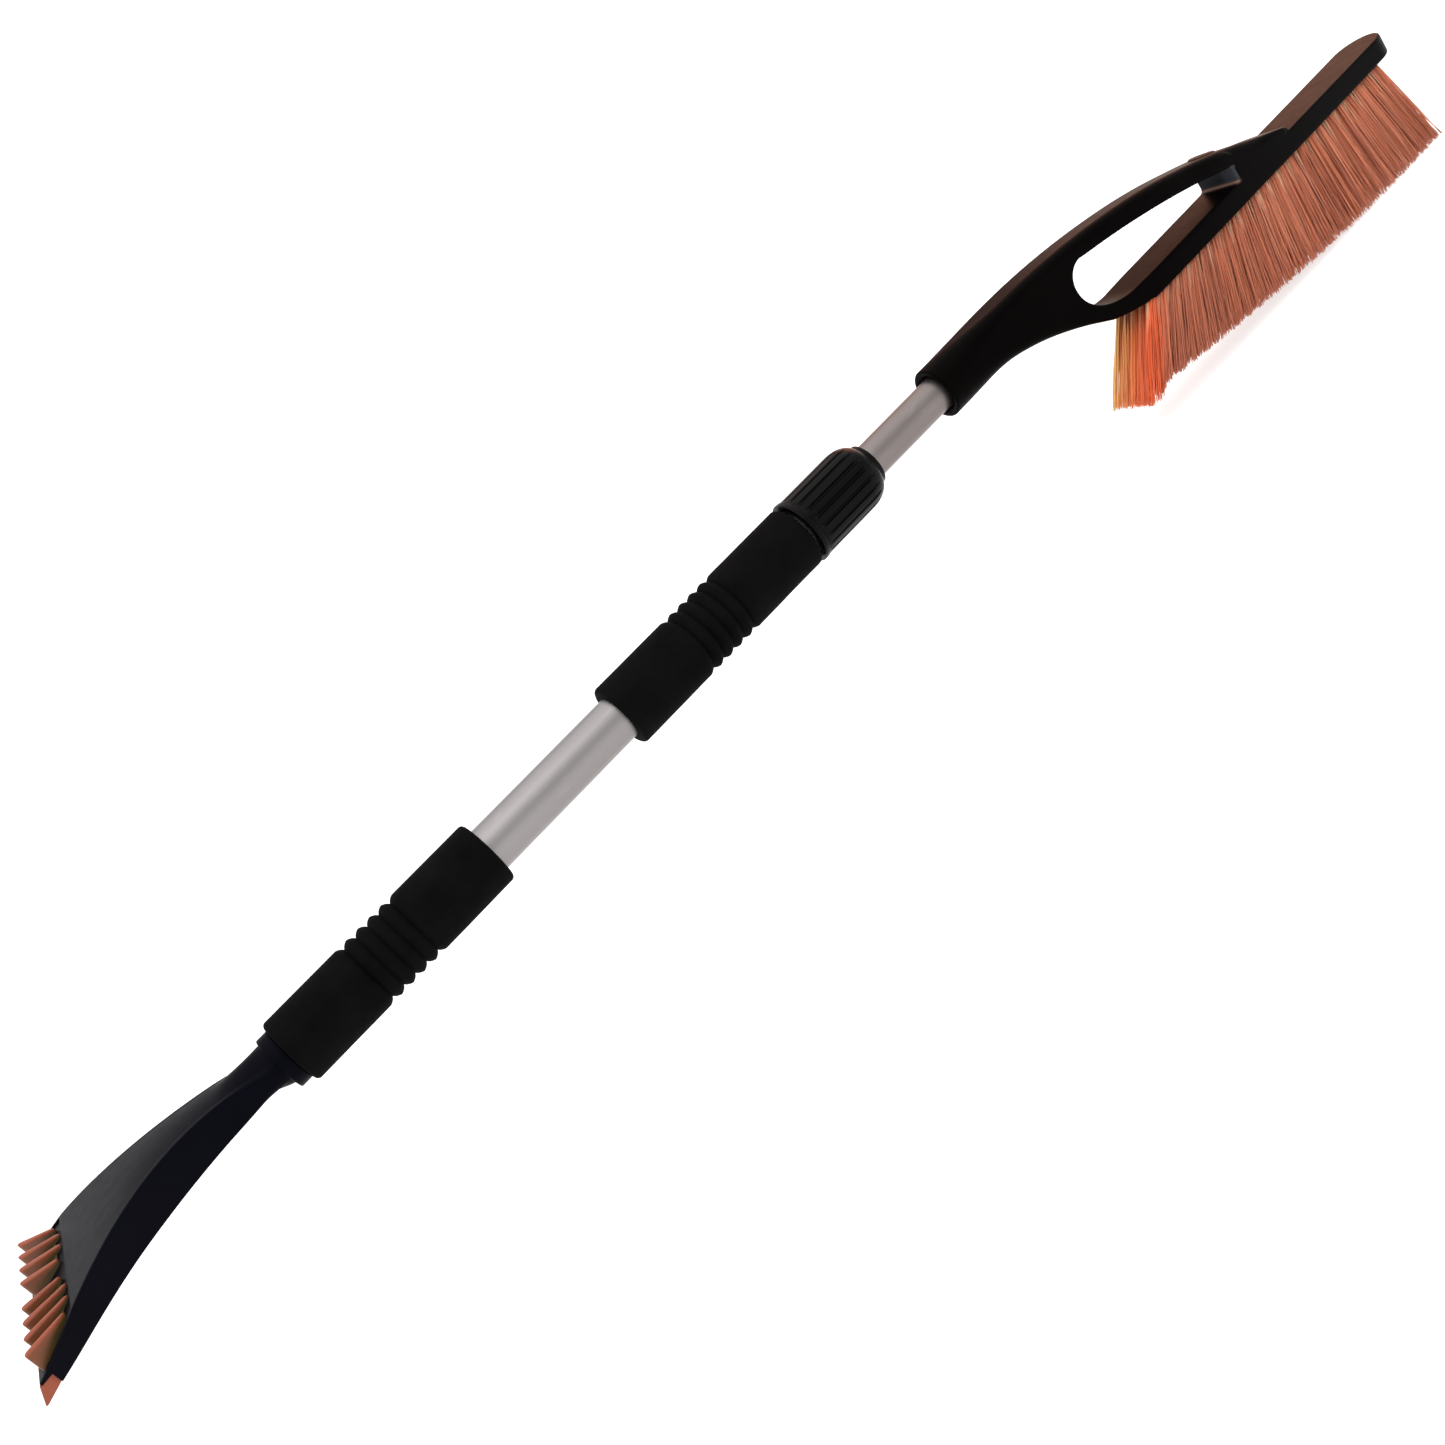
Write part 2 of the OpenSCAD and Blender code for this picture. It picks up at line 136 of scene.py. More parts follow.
# ---------- sizes of the bristles ----------
ROWS = 5
TUFTS = 24
FILAMENTS = 88
ROOT_X = (SOCKET_X + 139.5, BAR_END_X - 26)
TIP_X = (SOCKET_X + 103, BAR_END_X - 13)
LEVEL_TIPS_X = 470
TIP_RISE = 25.2
FIRST_TUFTS_X = 238
FIRST_TUFTS_LONGER = 6.0
ROOT_DEPTH = 2.0
TUFT_HALF = (4.4, 2.2)
TIP_HALF_Y = 4.2
TIP_FLARE = 0.62
TIP_SCATTER = (1.1, 0.7, 0.8)
BEND = (0.9, 0.5)
FILAMENT_R = (0.36, 0.25)
FILAMENT_LEVELS = np.array([0.0, 0.3, 0.62, 0.86, 1.0])[None, :]
THIRDS = np.array([0, 1, 2])[None, None, :] * 2 * math.pi / 3
ROW_PITCH = 6.2
ROW_LEAN = math.radians(1.5)


def mix(a, b, t):
    return a + (b - a) * t


def ease(t):
    t = np.clip(t, 0, 1)
    return t * t * (3 - 2 * t)


def between(x, start, end):
    """Eases from 0 at the start to 1 at the end."""
    return ease((x - start) / (end - start))


def to_metres(points):
    """Points in mm about the pole's axis as rows of metres in the frame."""
    return (np.asarray(points, float) + (0, 0, AXIS_HEIGHT)) * MM


# ---------- mesh helpers ----------
def add_to_scene(name, data):
    obj = bpy.data.objects.new(name, data)
    bpy.context.scene.collection.objects.link(obj)
    return obj


def make_piece(name, points, faces, material, body, replaced, crease=38):
    """A mesh piece from points in mm, smooth except where faces meet at more than crease degrees."""
    mesh = bpy.data.meshes.new(name)
    mesh.from_pydata(to_metres(points).tolist(), [], [tuple(int(i) for i in f) for f in faces])
    mesh.validate()
    shell = bmesh.new()
    shell.from_mesh(mesh)
    bmesh.ops.recalc_face_normals(shell, faces=shell.faces)
    shell.to_mesh(mesh)
    shell.free()
    mesh.shade_smooth()
    mesh.set_sharp_from_angle(angle=math.radians(crease))
    mesh.materials.append(material)
    obj = add_to_scene(name, mesh)
    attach(obj, body)
    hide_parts(*replaced)
    return obj


def set_shares(obj, name, values):
    """Stores one number from 0 to 1 per point, which a material can read."""
    data = obj.data.attributes.new(name, "FLOAT", "POINT")
    data.data.foreach_set("value", np.clip(values, 0, 1).astype(np.float32))


def join(*parts):
    """Several (points, faces) as one."""
    points, faces = [], []
    for part_points, part_faces in parts:
        start = len(points)
        points.extend(np.asarray(part_points, float).tolist())
        faces.extend([[start + i for i in f] for f in part_faces])
    return points, faces


def loft(rings, closed=False):
    """Quads between rings of equally many points, which end in a face each or join up if closed."""
    count = len(rings[0])
    points = [p for ring in rings for p in ring]
    faces = []
    steps = len(rings) if closed else len(rings) - 1
    for r in range(steps):
        a, b = r * count, (r + 1) % len(rings) * count
        for i in range(count):
            j = (i + 1) % count
            faces.append((a + i, a + j, b + j, b + i))
    if not closed:
        faces.append(tuple(range(count))[::-1])
        faces.append(tuple(range(len(points) - count, len(points))))
    return points, faces


def lathe(profile, angles):
    """A closed body of revolution about the pole's axis from a closed list of (x, radius)."""
    rings = [[(x, r * math.cos(a), r * math.sin(a)) for x, r in profile] for a in angles]
    return loft(rings, closed=True)


def even_angles(count):
    return [2 * math.pi * i / count for i in range(count)]


def ellipse(cx, cy, reach_x, reach_y, start, end, count):
    """Points along an ellipse in a plane, angles in degrees."""
    steps = np.radians(np.linspace(start, end, count))
    return [(cx + reach_x * math.cos(a), cy + reach_y * math.sin(a)) for a in steps]


def arc(cx, cy, radius, start, end, count):
    return ellipse(cx, cy, radius, radius, start, end, count)


# ---------- solids given by a field, negative inside ----------
def rounded_and(a, b, radius):
    """The overlap of two fields, its edge rounded to a radius."""
    outer = np.hypot(np.maximum(a + radius, 0), np.maximum(b + radius, 0))
    return np.minimum(np.maximum(a + radius, b + radius), 0) + outer - radius


def soft_max(a, b, width):
    gap = np.maximum(width - np.abs(a - b), 0)
    return np.maximum(a, b) + gap * gap / (4 * width)


def distance_map(outline, low, high, step=0.5):
    """A function of x and z that gives the distance to a closed outline, negative inside it."""
    xs = np.arange(low[0], high[0] + step, step)
    zs = np.arange(low[1], high[1] + step, step)
    x, z = xs[:, None], zs[None, :]
    nearest = np.full((len(xs), len(zs)), np.inf)
    inside = np.zeros(nearest.shape, bool)
    for (ax, az), (bx, bz) in zip(outline, outline[1:] + outline[:1]):
        ex, ez = bx - ax, bz - az
        t = np.clip(((x - ax) * ex + (z - az) * ez) / (ex * ex + ez * ez), 0, 1)
        nearest = np.minimum(nearest, (x - ax - t * ex) ** 2 + (z - az - t * ez) ** 2)
        if ez != 0:
            inside ^= ((az > z) != (bz > z)) & (x < ax + ex * (z - az) / ez)
    table = np.where(inside, -1, 1) * np.sqrt(nearest)

    def distance(x, z):
        i = np.clip((x - xs[0]) / step, 0, len(xs) - 1.001)
        k = np.clip((z - zs[0]) / step, 0, len(zs) - 1.001)
        i, k = np.broadcast_arrays(i, k)
        i0, k0 = i.astype(int), k.astype(int)
        u, v = i - i0, k - k0
        near = table[i0, k0] * (1 - v) + table[i0, k0 + 1] * v
        far = table[i0 + 1, k0] * (1 - v) + table[i0 + 1, k0 + 1] * v
        return near * (1 - u) + far * u

    return distance


def slope_of(field, p, reach=0.03):
    """The field's gradient at rows of points."""
    columns = []
    for axis in range(3):
        shift = np.zeros(3)
        shift[axis] = reach
        columns.append((field(*(p + shift).T) - field(*(p - shift).T)) / (2 * reach))
    return np.stack(columns, 1)


def surface_of(field, low, high, step):
    """Quads over the surface where the field is 0, one point per crossed cell, moved onto the surface."""
    low = np.array(low, float)
    axes = [np.arange(a, b + step, step) for a, b in zip(low, high)]
    x, y, z = axes[0][:, None, None], axes[1][None, :, None], axes[2][None, None, :]
    value = np.ascontiguousarray(field(x, y, z))
    cells = [n - 1 for n in value.shape]
    total = np.zeros(cells + [3])
    count = np.zeros(cells)

    def shifted(corner):
        return value[tuple(slice(c, c + n) for c, n in zip(corner, cells))]

    for corner, axis in itertools.product(itertools.product((0, 1), repeat=3), range(3)):
        if corner[axis]:
            continue
        other = tuple(1 if i == axis else c for i, c in enumerate(corner))
        a, b = shifted(corner), shifted(other)
        crossed = (a < 0) != (b < 0)
        t = np.where(crossed, a / np.where(crossed, a - b, 1), 0)
        for i in range(3):
            total[..., i] += np.where(crossed, corner[i] + (t if i == axis else 0), 0)
        count += crossed
    used = count > 0
    index = np.full(cells, -1)
    index[used] = np.arange(used.sum())
    points = low + step * (np.argwhere(used) + total[used] / count[used][:, None])
    quads = []
    for axis in range(3):
        u, v = np.eye(3, dtype=int)[(axis + 1) % 3], np.eye(3, dtype=int)[(axis + 2) % 3]
        inside = np.moveaxis(value < 0, axis, 0)
        starts = np.argwhere(inside[:-1] != inside[1:])
        order = [axis] + [i for i in range(3) if i != axis]
        cell = np.zeros_like(starts)
        cell[:, order] = starts
        low_inside = (value < 0)[tuple(cell.T)]
        around = [index[tuple((cell - s).T)] for s in (u + v, v, 0 * u, u)]
        quad = np.stack(around, 1)
        quad[~low_inside] = quad[~low_inside][:, ::-1]
        quads.append(quad)
    for _ in range(4):
        slope = slope_of(field, points)
        points = points - slope * (field(*points.T) / (slope ** 2).sum(1))[:, None]
    return points, np.concatenate(quads)


# ---------- materials ----------
class NodeTree:
    """Short calls for building the nodes of a material or a world."""

    def adopt(self, owner):
        owner.use_nodes = True
        self.nodes = owner.node_tree.nodes
        self.links = owner.node_tree.links

    def fill(self, socket, value):
        """Links the socket to another one, or sets its value. Colours are given without their alpha."""
        if isinstance(value, bpy.types.NodeSocket):
            self.links.new(value, socket)
        elif socket.type == "RGBA":
            socket.default_value = (*value, 1.0)
        else:
            socket.default_value = value

    def put(self, kind, inputs=(), **settings):
        node = self.nodes.new(kind)
        for key, value in settings.items():
            setattr(node, key, value)
        for key, value in dict(inputs).items():
            self.fill(node.inputs[key], value)
        return node

    def ramp(self, factor, stops):
        node = self.put("ShaderNodeValToRGB", {"Fac": factor})
        band = node.color_ramp
        while len(band.elements) < len(stops):
            band.elements.new(0.5)
        for element, (position, colour) in zip(band.elements, stops):
            element.position = position
            element.color = (*colour, 1.0)
        return node.outputs["Color"]

    def level(self, factor, low, high, start=0.0, end=1.0):
        inputs = {"Value": factor, "From Min": start, "From Max": end, "To Min": low, "To Max": high}
        return self.put("ShaderNodeMapRange", inputs).outputs["Result"]

    def blended(self, factor, a, b, blend="MIX"):
        """Colours a and b mixed. 0, 6 and 7 are the node's factor and its two colour inputs."""
        node = self.put("ShaderNodeMix", {0: factor, 6: a, 7: b}, data_type="RGBA", blend_type=blend)
        return node.outputs[2]


class Look(NodeTree):
    """A material being built."""

    def __init__(self, name, roughness, metallic=0.0, specular=0.5):
        self.material = bpy.data.materials.new(name)
        self.adopt(self.material)
        self.shader = self.nodes["Principled BSDF"]
        self.shader.inputs["Roughness"].default_value = roughness
        self.shader.inputs["Metallic"].default_value = metallic
        self.shader.inputs["Specular IOR Level"].default_value = specular
        self.place = self.put("ShaderNodeTexCoord").outputs["Object"]
        self.bumped = None

    def drive(self, name, value):
        self.fill(self.shader.inputs[name], value)

    def stretched(self, factors):
        """Object coordinates stretched by a factor on each axis."""
        return self.put("ShaderNodeMapping", {"Vector": self.place, "Scale": factors}).outputs[0]

    def along(self):
        return self.put("ShaderNodeSeparateXYZ", {"Vector": self.place}).outputs["X"]

    def attribute(self, name):
        return self.put("ShaderNodeAttribute", attribute_name=name).outputs["Fac"]

    def noise(self, scale, detail=3.0, place=None):
        inputs = {"Vector": place or self.place, "Scale": scale, "Detail": detail, "Roughness": 0.55}
        return self.put("ShaderNodeTexNoise", inputs).outputs["Fac"]

    def cells(self, scale):
        return self.put("ShaderNodeTexVoronoi", {"Vector": self.place, "Scale": scale}).outputs["Distance"]

    def scuffs(self, scale, detail, factors, start, end):
        """Scattered scuffed spots, from 0 to 1."""
        spots = self.noise(scale, detail, self.stretched(factors))
        return self.ramp(spots, ((start, (0, 0, 0)), (end, (1, 1, 1))))

    def bump(self, height, distance, strength=1.0):
        """Adds a bump of a height in mm on top of those before it."""
        inputs = {"Height": height, "Distance": distance * MM, "Strength": strength}
        if self.bumped:
            inputs["Normal"] = self.bumped
        self.bumped = self.put("ShaderNodeBump", inputs).outputs["Normal"]
        self.drive("Normal", self.bumped)


def moulded_plastic(name, dark, light, roughness, specular, grain=0.012, polish=None, marks=()):
    """Injection-moulded plastic: spark-eroded grain and faint flow clouds.

    polish gives two places along the pole (metres) and the reflection at each of them.
    marks gives the piece's own attributes that lead toward other colours."""
    look = Look(name, roughness, specular=specular)
    base = look.ramp(look.noise(28, 4), ((0.3, dark), (0.75, light)))
    for attribute, colour in marks:
        base = look.blended(look.attribute(attribute), base, colour)
    look.drive("Base Color", base)
    look.drive("Roughness", look.level(look.noise(160, 3), roughness - 0.05, roughness + 0.07))
    if polish:
        (start, low), (end, high) = polish
        look.drive("Specular IOR Level", look.level(look.along(), low, high, start, end))
    look.bump(look.noise(2600, 2), grain)
    look.bump(look.noise(90, 2), grain * 1.5, 0.5)
    return look.material


def anodised_aluminium(name, dark, light, roughness):
    """Drawn tube: fine lines along the pole, a few scuffs."""
    look = Look(name, roughness, metallic=1.0)
    lines = look.noise(2400, 3, look.stretched((0.02, 1, 1)))
    colour = look.ramp(look.noise(9, 2), ((0.3, dark), (0.7, light)))
    scuffs = look.scuffs(260, 5, (0.25, 1, 1), 0.60, 0.72)
    look.drive("Base Color", look.blended(look.level(scuffs, 0, 0.12), colour, (0.42, 0.41, 0.41)))
    look.drive("Roughness", look.level(lines, roughness - 0.06, roughness + 0.10))
    look.bump(lines, 0.006, 0.6)
    return look.material


def closed_cell_foam(name):
    """Skinned foam: pores, a soft mottle and a dry sheen."""
    look = Look(name, 0.85, specular=0.03)
    dark, light = (0.0018, 0.0018, 0.0019), (0.0040, 0.0038, 0.0038)
    look.drive("Base Color", look.ramp(look.noise(55, 5), ((0.3, dark), (0.75, light))))
    look.drive("Roughness", look.level(look.noise(420, 3), 0.72, 0.93))
    look.bump(look.cells(1900), 0.10, 0.55)
    look.bump(look.noise(800, 4), 0.10, 0.6)
    look.bump(look.noise(120, 3), 0.22, 0.5)
    return look.material


def orange_plastic(name, shaded):
    """Tough terracotta-orange plastic with scattered scuffs. shaded pieces get painted shade: a per-point
    share of an olive-dark tone.
    """
    look = Look(name, 0.42, specular=0.3)
    base = look.ramp(look.noise(45, 4), ((0.25, (0.225, 0.048, 0.020)), (0.8, (0.305, 0.070, 0.031))))
    scuffs = look.scuffs(900, 4, (1, 0.2, 1), 0.58, 0.74)
    base = look.blended(look.level(scuffs, 0, 0.16), base, (0.46, 0.19, 0.12))
    if shaded:
        # painted shade: an olive-dark tone where the fins' flanks, feet and roots lie in shade
        base = look.blended(look.attribute("shade"), base, (0.058, 0.040, 0.011))
    look.drive("Base Color", base)
    look.drive("Roughness", look.level(look.noise(300, 3), 0.34, 0.5))
    look.bump(look.noise(2200, 2), 0.012)
    return look.material


def bristle_fibre_painted_light(name):
    """Synthetic fibre: each filament has its own tone, and attributes lead toward other colours, one of
    them painted light near the tufts' roots.
    """
    look = Look(name, 0.45, specular=0.4)
    tones = ((0.0, (0.32, 0.080, 0.034)), (0.5, (0.52, 0.135, 0.058)), (1.0, (0.70, 0.215, 0.105)))
    body = look.ramp(look.attribute("tone"), tones)
    streaks = look.noise(1500, 3, look.stretched((1, 1, 0.03)))
    body = look.blended(look.level(streaks, 0, 0.25, 0.35, 0.75), body, (0.74, 0.27, 0.14))
    for attribute, colour in (
        ("warmth", (0.90, 0.13, 0.02)),
        ("fringe", (1.0, 0.60, 0.18)),
        # pale is painted light: light showing through the gaps between tufts near their roots
        ("pale", (0.95, 0.66, 0.42)),
    ):
        body = look.blended(look.attribute(attribute), body, colour)
    look.drive("Base Color", body)
    look.drive("Sheen Weight", 0.15)
    look.drive("Roughness", look.level(streaks, 0.38, 0.6))
    look.bump(streaks, 0.02, 0.5)
    return look.material


def turned_steel(name):
    """Rivet steel: turned rings, small pits."""
    look = Look(name, 0.32, metallic=1.0)
    rings = look.noise(1800, 2, look.stretched((1, 0.1, 1)))
    dark, light = (0.19, 0.19, 0.20), (0.31, 0.31, 0.32)
    look.drive("Base Color", look.ramp(look.noise(400, 4), ((0.35, dark), (0.7, light))))
    look.drive("Roughness", look.level(rings, 0.24, 0.45))
    look.bump(rings, 0.01)
    return look.material


BLACK = moulded_plastic(
    "black_satin_plastic", dark=(0.0008, 0.0008, 0.0026), light=(0.0014, 0.0014, 0.0042),
    roughness=0.42, specular=0.032, polish=((-0.49, 0.044), (-0.38, 0.026)))
# the arm's plastic has painted light: warm painted highlights on the arm's end lip, the hang hole's rim and
# the loop's far end, and a lighter grey painted on the loop's far end wall
HEAD_BLACK_PAINTED_LIGHT = moulded_plastic(
    "black_arm_plastic_painted_light", dark=(0.0008, 0.0005, 0.0004), light=(0.0016, 0.0011, 0.001),
    roughness=0.4, specular=0.03, polish=((0.30, 0.014), (0.43, 0.038)),
    marks=(("painted_highlight", (0.30, 0.17, 0.13)), ("painted_wall_light", (0.042, 0.045, 0.054))))
GLOSS = moulded_plastic(
    "collar_gloss_plastic", dark=(0.0009, 0.0007, 0.0007), light=(0.0018, 0.0015, 0.0015),
    roughness=0.22, specular=0.07, grain=0.006)
GREY = moulded_plastic(
    "collet_grey_plastic", dark=(0.16, 0.16, 0.17), light=(0.23, 0.23, 0.24),
    roughness=0.42, specular=0.4)
RUBBER = moulded_plastic(
    "wiper_rubber", dark=(0.004, 0.004, 0.004), light=(0.007, 0.007, 0.007),
    roughness=0.7, specular=0.15, grain=0.03)
OUTER_METAL = anodised_aluminium(
    "outer_tube_aluminium", dark=(0.235, 0.218, 0.213), light=(0.278, 0.265, 0.262), roughness=0.34)
INNER_METAL = anodised_aluminium(
    "inner_tube_aluminium", dark=(0.172, 0.145, 0.137), light=(0.218, 0.194, 0.186), roughness=0.36)
FOAM = closed_cell_foam("grip_foam")
ORANGE = orange_plastic("orange_plastic", shaded=False)
# the comb's orange plastic carries painted shade on its fins and bed
COMB_ORANGE_PAINTED_SHADE = orange_plastic("comb_orange_plastic_painted_shade", shaded=True)
FIBRE_PAINTED_LIGHT = bristle_fibre_painted_light("bristle_fibre_painted_light")
STEEL = turned_steel("rivet_steel")

for node, material in {
    "outer_tube": OUTER_METAL,
    "inner_tube": INNER_METAL,
    "scraper_rivets": STEEL,
    "brush_head_rivet": STEEL,
    "threaded_ferrule": BLACK,
    "clamp_collet": GREY,
    "wiper_ring": RUBBER,
    "guide_bush": BLACK,
}.items():
    cad_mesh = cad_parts[node]
    for slot in cad_mesh.material_slots:
        slot.material = material


# ---------- scraper head ----------
def head_x(u):
    return NECK_X + u * (LIP_X - NECK_X)


def half_width(u):
    """Half of the head's width. Both terms are 0 at the lip: one flares the head, one rounds its front."""
    v = max(u - 0.1, 0)
    return BLADE_HALF - 75.4 * (0.81 - v * v) + 35 * (0.3487 - v ** 10)


def crown(u):
    return CREST_Z - 57.3 * (u - CREST_U) ** 2


def top_z(u):
    """Height of the top along the crease: an arch, then a straight slope to the lip."""
    if u < SLOPE_U:
        return crown(u)
    return mix(crown(SLOPE_U), LIP_TOP, (u - SLOPE_U) / (1 - SLOPE_U))


def low_z(u):
    """Height of the side walls' feet, which scoop down toward the lip."""
    return WALL_FOOT - 30 * max(u - 0.6, 0) ** 2


def head_section(u, low, pocket, bed, inset=0.0, top_drop=0.0):
    """One closed section of the head: walls, top and, where pocket is above 0, the hollow underneath.

    bed is how deep the ice combs' recess is here."""
    top = top_z(u) - top_drop
    half = half_width(u) - inset
    height = top - low
    crispness = float(between(u, 0, 0.22))
    crease_r = min(mix(*CREASE_R, crispness), 0.45 * height)
    foot_r = min(mix(*FOOT_R, crispness), 0.4 * height)
    dome = max(NECK_R - top if u < 0.3 else 0.0, 0.9 * float(1 - ease((u - 0.45) / 0.3)))
    inner = half - WALL
    right = arc(half - foot_r, low + foot_r, foot_r, -90, 0, 6)
    right += [(half, mix(low + foot_r, top - crease_r, t)) for t in (0.2, 0.4, 0.6, 0.8)]
    right += arc(half - crease_r, top - crease_r, crease_r, 0, 90, 8)
    edge = min(half - crease_r, inner)
    right += [(edge, top), (edge - 0.3, top - bed)]
    right += [((edge - 0.3) * t, top - bed + dome * (1 - t * t)) for t in np.linspace(1, 0, 12)[1:-1]]
    left = [(-y, z) for y, z in right[::-1]]
    under = [(-inner + 0.45 * i, low + pocket * t) for i, t in enumerate((0.0, 0.06, 0.5, 0.96))]
    roof = -inner + 1.8
    under += [(roof * t, low + pocket + dome * (1 - t * t) * (pocket > 0)) for t in np.linspace(1, 0, 9)]
    under += [(-y, z) for y, z in under[::-1][1:]]
    outline = right + [(0.0, top - bed + dome)] + left + under
    round_share = 1 - float(ease((u - 0.01) / 0.13))
    if round_share > 0:
        middle = (top + low) / 4
        turned = []
        for y, z in outline:
            angle = math.atan2(z - middle, y)
            radius = mix(NECK_R, NECK_R - 1.2, max(0.0, -math.sin(angle)))
            ring = (radius * math.cos(angle), radius * math.sin(angle))
            turned.append((mix(y, ring[0], round_share), mix(z, ring[1], round_share)))
        outline = turned
    return [(head_x(u), y, z) for y, z in outline]


def head_sections():
    """Sections from inside the ring to the lip."""
    sections = []

    def add(u, pocket=0.0, low=None, **others):
        bed = BED_DEPTH if BED_U[0] <= u <= BED_U[1] else 0.0
        sections.append(head_section(u, low_z(u) if low is None else low, pocket, bed, **others))

    def full(u):
        return top_z(u) - SKIN - low_z(u)

    start, end = POCKET_U
    front = (FRONT_X - NECK_X) / (LIP_X - NECK_X)
    hair = 0.0008
    stations = {*np.linspace(-0.012, 1 - hair, 92), *BED_U, BED_U[0] - hair, BED_U[1] + hair, front,
                start, start + 5 * hair, end - 5 * hair, end}
    for u in sorted(u for u in stations if u <= front):
        add(u, full(u) if start < u < end else 0.0)
    for u in sorted(u for u in stations if u >= front):
        add(u, low=FRONT_FOOT)
    add(1.0, low=FRONT_FOOT + 0.15, inset=0.3, top_drop=0.25)
    return sections


def head_ribs():
    """Three ribs under the skin, fanning out from the neck."""
    ribs = []
    for turn in RIB_TURNS:
        slope = math.tan(math.radians(turn))
        rings = []
        for u in np.linspace(POCKET_U[0] - 0.02, POCKET_U[1] + 0.02, 16):
            x = head_x(u)
            y = slope * (NECK_X + 30 - x)
            low, high = low_z(u) + 0.8, top_z(u) - 1.6
            rings.append([(x, y - 1.1, low), (x, y + 1.1, low), (x, y + 1.5, high), (x, y - 1.5, high)])
        ribs.append(loft(rings))
    return ribs


def neck_ring():
    """The collar-like ring against the grip, with the plug that sits in the tube behind it."""
    low, high = RING_X
    plug_end = high + PLUG_LENGTH
    profile = arc(low + RING_EDGE_R, RING_R - RING_EDGE_R, RING_EDGE_R, 180, 90, 5)
    profile += arc(high - RING_EDGE_R, RING_R - RING_EDGE_R, RING_EDGE_R, 90, 0, 5)
    profile += [(high, PLUG_R), (plug_end - 1, PLUG_R), (plug_end, PLUG_R - 0.95)]
    profile += [(plug_end, PLUG_BORE_R), (low + 1, PLUG_BORE_R), (low, PLUG_BORE_R + 1)]
    return lathe(profile[::-1], even_angles(96))


def build_scraper_head():
    points, faces = join(loft(head_sections()), neck_ring(), *head_ribs())
    return make_piece("scraper_head_shell", points, faces, BLACK, "outer_pole",
                      ["scraper_head"])


def build_blade():
    """The cutting strip under the lip, its ends in line with the head's sides."""
    back_x = FRONT_X + 9
    profile = [(back_x, -3.0), (FRONT_X, -3.3), (FRONT_X, -2.82), (LIP_X - 0.2, -2.82), (LIP_X - 0.9, -2.3),
               (BLADE_TIP_X + 0.1, BLADE_TIP_Z + 0.35), (BLADE_TIP_X + 0.25, BLADE_TIP_Z),
               (BLADE_TIP_X + 1.2, BLADE_TIP_Z), (FRONT_X - 0.6, -7.9), (FRONT_X, -7.5), (FRONT_X, -5.1),
               (back_x, -4.8)]

    def end_y(x):
        return mix(half_width(0.9), BLADE_HALF, min(1, (back_x - x) / (back_x - LIP_X)))

    rings = []
    for share in np.linspace(-1, 1, 49):
        tuck = 0.35 if abs(share) == 1 else 0.0
        nick = 0.10 * rng.random()
        rings.append([(x + (nick if z < -9 else 0), share * (end_y(x) - tuck), z) for x, z in profile])
    points, faces = loft(rings)
    return make_piece("scraper_blade_edge", points, faces, ORANGE, "outer_pole",
                      ["scraper_blade"], crease=25)


# ---------- ice combs ----------
COMB_FINS = 4
COMB_TIP_X = COMB_LOW[0]
COMB_ROOT_X = COMB_TIP_X + 19.6
ROOT_BOW = 3.0
COMB_ROOT_Y = (9.5, 45.5)
COMB_TIP_Y = (13.0, 57.0)
RIDGE_Z = (7.4, COMB_HIGH[2])
FIN_HALF = (0.9, 2.3)


def bed_z(x):
    return top_z((NECK_X - x) / (NECK_X - LIP_X)) - BED_DEPTH


def build_fin(place, side, shades):
    """One tall, slim fin: a rounded ridge that rises from a pointed root to a rounded nose.

    shades gets each point's share of painted shade, an olive-dark tone on the flanks below the ridge,
    toward the roots and near the feet."""
    root_x = COMB_ROOT_X + ROOT_BOW * (0.5 - (2 * place - 1) ** 2)
    root_y, tip_y = mix(*COMB_ROOT_Y, place), mix(*COMB_TIP_Y, place)
    rings = []
    for t in (0, 0.015, 0.05, 0.1, 0.2, 0.35, 0.5, 0.65, 0.8, 0.88, 0.93, 0.96, 0.98, 0.992, 1.0):
        x = mix(root_x, COMB_TIP_X, t)
        y = mix(root_y, tip_y, t)
        nose = math.sqrt(max(0.0, 1 - max(0.0, (t - 0.9) / 0.1) ** 2))
        root = math.sqrt(min(1.0, t / 0.05 + 0.04))
        half = mix(*FIN_HALF, t) * root * max(nose, 0.22)
        ridge = mix(*RIDGE_Z, t) - 0.8 * (1 - nose) - 0.5 * (1 - root)
        foot = bed_z(x) - 0.1
        shoulder = min(0.75 * mix(*FIN_HALF, t), 0.6 * (ridge - foot))
        section = [(half + 0.25, foot), (half + 0.1, mix(foot, ridge - shoulder, 0.5))]
        section += ellipse(0, ridge - shoulder, half, shoulder, 0, 90, 7)
        section += [(-dy, z) for dy, z in section[::-1][1:]]
        rings.append([(x, side * y + dy, z) for dy, z in section])
        for dy, z in section:
            # painted shade: the flanks darken below the ridge and toward the root, and more near the foot
            side_shade = (1.2 - 0.7 * t) * ease((ridge - z - 0.75) / 1.1)
            shades.append(float(side_shade + 0.5 * ease((foot + 3 - z) / 3)))
    return loft(rings)


